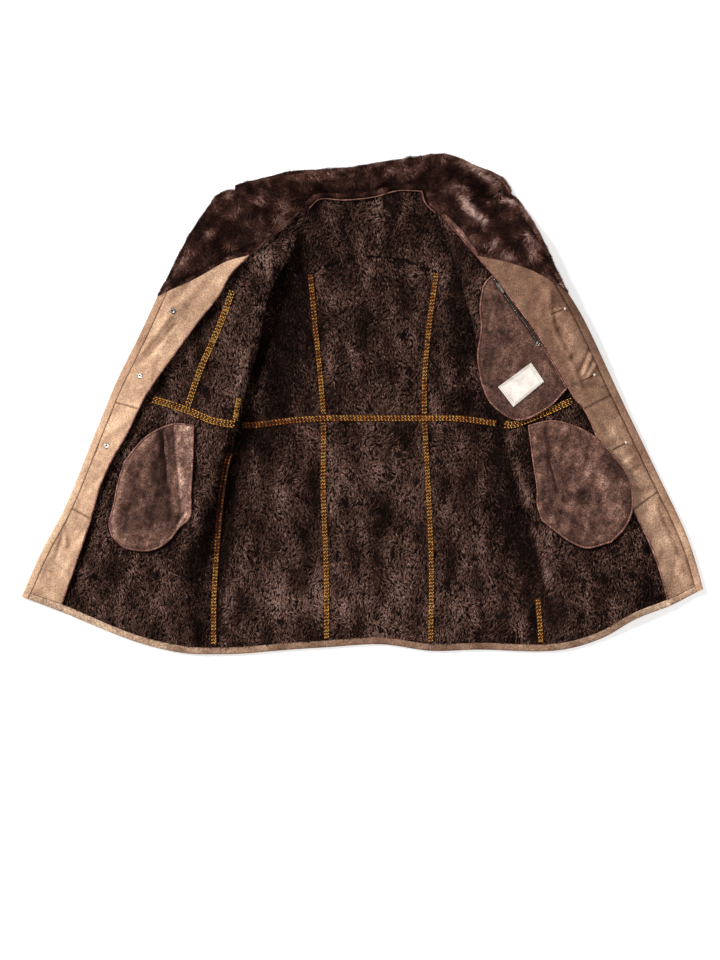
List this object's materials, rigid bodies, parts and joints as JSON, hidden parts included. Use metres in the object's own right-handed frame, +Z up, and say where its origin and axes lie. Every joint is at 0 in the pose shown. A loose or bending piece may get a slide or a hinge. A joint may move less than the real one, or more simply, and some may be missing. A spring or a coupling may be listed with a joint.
{
  "type": "shearling coat",
  "caption": "Shearling coat laid wide open on its back, fur side up, with plush collar and lapels, suede facings, pocket bags and braided seam tape.",
  "frame": {"origin": "middle of the laid-out coat, on the floor under it", "axes": "+X across the opened coat to its left front as worn, +Y to the collar, +Z up from the floor"},
  "size_m": [1.1605, 0.85, 0.055],
  "materials": {
    "fur": "curly dark brown sheared fur",
    "plush": "glossy dark plush",
    "tan_suede": "napped tan suede",
    "brown_suede": "napped brown suede",
    "bag_suede": "short-napped dark brown suede",
    "binding": "thin smooth leather piping",
    "gold_tape": "gold braided tape",
    "label_cloth": "cream woven cloth",
    "nickel": "nickel plate"
  },
  "bodies": {
    "coat": {"back_lower_middle": "fur", "back_lower_side_L": "fur", "back_lower_side_R": "fur", "back_upper_middle": "fur", "back_upper_side_L": "fur", "back_upper_side_R": "fur", "back_yoke": "fur", "button_1": "nickel", "button_2": "nickel", "button_3": "nickel", "collar": "plush", "edge_band_L": "tan_suede", "edge_band_R": "brown_suede", "facing_lower_L": "tan_suede", "facing_lower_R": "brown_suede", "facing_middle_L": "tan_suede", "facing_middle_R": "brown_suede", "facing_upper_L": "tan_suede", "facing_upper_R": "brown_suede", "front_lower_L": "fur", "front_lower_R": "fur", "front_side_L": "fur", "front_side_R": "fur", "front_upper_L": "fur", "front_upper_R": "fur", "front_yoke_L": "fur", "front_yoke_R": "fur", "hem_front_L": "tan_suede", "hem_front_R": "tan_suede", "hem_middle": "tan_suede", "hem_side_L": "tan_suede", "hem_side_R": "tan_suede", "inner_pocket": "bag_suede", "label": "label_cloth", "lapel_L": "plush", "lapel_R": "plush", "neck_binding": "binding", "pocket_bag_L": "bag_suede", "pocket_bag_R": "bag_suede", "rivet_1": "nickel", "rivet_2": "nickel", "rivet_3": "nickel", "sleeve_top_L": "tan_suede", "sleeve_top_R": "brown_suede", "sleeve_under_L": "tan_suede", "sleeve_under_R": "brown_suede", "tape_armhole_L": "gold_tape", "tape_back_lower_L": "gold_tape", "tape_back_lower_R": "gold_tape", "tape_back_upper_L": "gold_tape", "tape_back_upper_R": "gold_tape", "tape_front_L": "gold_tape", "tape_side_L": "gold_tape", "tape_side_R": "gold_tape", "tape_waist_back": "gold_tape", "tape_waist_front_L": "gold_tape", "tape_waist_front_R": "gold_tape", "zip_slider": "nickel", "zip_tape": "binding"},
    "zip_pull": {"zip_pull": "nickel"}
  },
  "joints": [
    {"name": "zip_pull_hinge", "type": "hinge", "parent": "coat", "child": "zip_pull", "pos_m": [0.23205, 0.201, 0.04595], "axis": [-0.8355, -0.5495, 0], "range_deg": [0, 150]}
  ]
}
